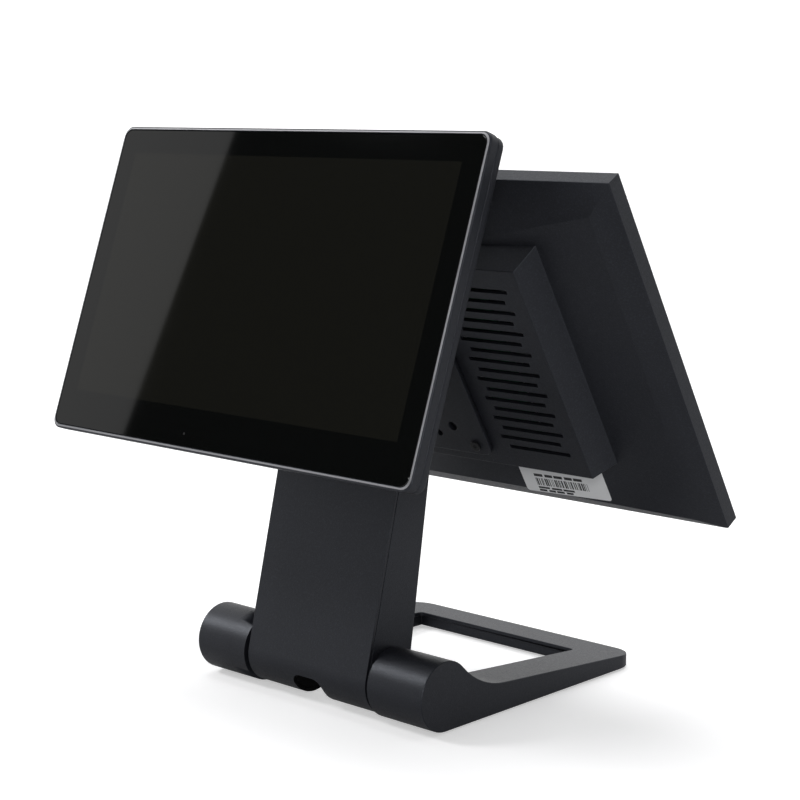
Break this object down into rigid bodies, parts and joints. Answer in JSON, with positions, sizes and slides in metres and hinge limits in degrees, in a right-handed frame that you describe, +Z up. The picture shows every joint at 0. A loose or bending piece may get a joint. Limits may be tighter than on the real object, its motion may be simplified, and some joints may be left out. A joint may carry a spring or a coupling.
{
  "type": "pos touchscreen terminal",
  "caption": "Countertop sales terminal: wide touchscreen tilting on a folding column over a wedge ring base, with a smaller tilting screen facing the customer.",
  "frame": {"origin": "centre of the bounding box's bottom face, on the counter under the feet", "axes": "+X along the width, to the customer's right; +Y from the customer towards the cashier; +Z up"},
  "size_m": [0.383, 0.2627, 0.3292],
  "materials": {
    "charcoal_paint": "satin charcoal powder coat with a very fine texture",
    "charcoal_plastic": "satin charcoal, very fine texture",
    "black_plastic": "black moulded",
    "steel": "zinc plated, dull",
    "black_oxide": "black oxide steel screws",
    "aluminium": "anodised, bright chamfer",
    "dark_aluminium": "charcoal anodised, with a bright machined chamfer round the glass",
    "black_glass": "black backed glass, smooth",
    "lcd_panel": "screen switched off",
    "rubber": "matt black",
    "circuit_board": "green solder mask",
    "label_paper": "printed film label"
  },
  "bodies": {
    "base": {"base_frame": "charcoal_paint", "base_bottom_plate": "steel", "foot_front_left": "rubber", "foot_front_right": "rubber", "foot_rear_left": "rubber", "foot_rear_right": "rubber", "friction_hinge_left": "steel", "friction_hinge_right": "steel"},
    "column": {"column_shell": "charcoal_paint", "column_front_cover": "charcoal_paint", "column_beam": "steel", "hinge_shaft_left": "steel", "hinge_shaft_right": "steel"},
    "main_unit": {"tilt_knuckle": "charcoal_paint", "tilt_pin": "steel", "mounting_plate": "charcoal_paint", "mounting_screw_1": "black_oxide", "mounting_screw_2": "black_oxide", "mounting_screw_3": "black_oxide", "mounting_screw_4": "black_oxide", "display_arm": "charcoal_paint", "main_rear_cover": "charcoal_plastic", "panel_carrier": "steel", "main_lcd_panel": "lcd_panel", "glass_gasket": "rubber", "main_touch_glass": "black_glass", "mainboard": "circuit_board", "cpu": "black_plastic", "cpu_heatsink": "aluminium", "memory_module": "circuit_board", "wireless_card": "circuit_board", "ssd_drive": "aluminium", "speaker_left": "black_plastic", "speaker_right": "black_plastic", "usb_port_1": "steel", "usb_port_2": "steel", "video_port": "steel", "serial_port": "steel", "network_port": "steel", "drawer_port": "steel", "power_inlet": "steel", "power_switch": "steel", "rating_label": "label_paper"},
    "power_button": {"power_button": "black_plastic"},
    "customer_display": {"display_front_frame": "dark_aluminium", "display_glass": "black_glass", "display_lcd_panel": "lcd_panel", "display_rear_cover": "charcoal_plastic", "display_board": "circuit_board", "display_hinge_plate": "charcoal_paint", "display_hinge_pin": "steel", "display_screw_1": "black_oxide", "display_screw_2": "black_oxide", "display_screw_3": "black_oxide", "display_screw_4": "black_oxide"}
  },
  "joints": [
    {"name": "column_turn", "type": "hinge", "parent": "base", "child": "column", "pos_m": [0, -0.0453, 0.0212], "axis": [1, 0, 0], "range_deg": [-15, 10]},
    {"name": "main_tilt", "type": "hinge", "parent": "column", "child": "main_unit", "pos_m": [0, -0.01417, 0.18033], "axis": [1, 0, 0], "range_deg": [-25, 30]},
    {"name": "display_turn", "type": "hinge", "parent": "main_unit", "child": "customer_display", "pos_m": [0, -0.0759, 0.232], "axis": [1, 0, 0], "range_deg": [-10, 20]},
    {"name": "power_press", "type": "slide", "parent": "main_unit", "child": "power_button", "axis": [0, -0.5113, 0.8594], "range_m": [0, 0.0008], "stiffness_N_per_m": 1200}
  ]
}
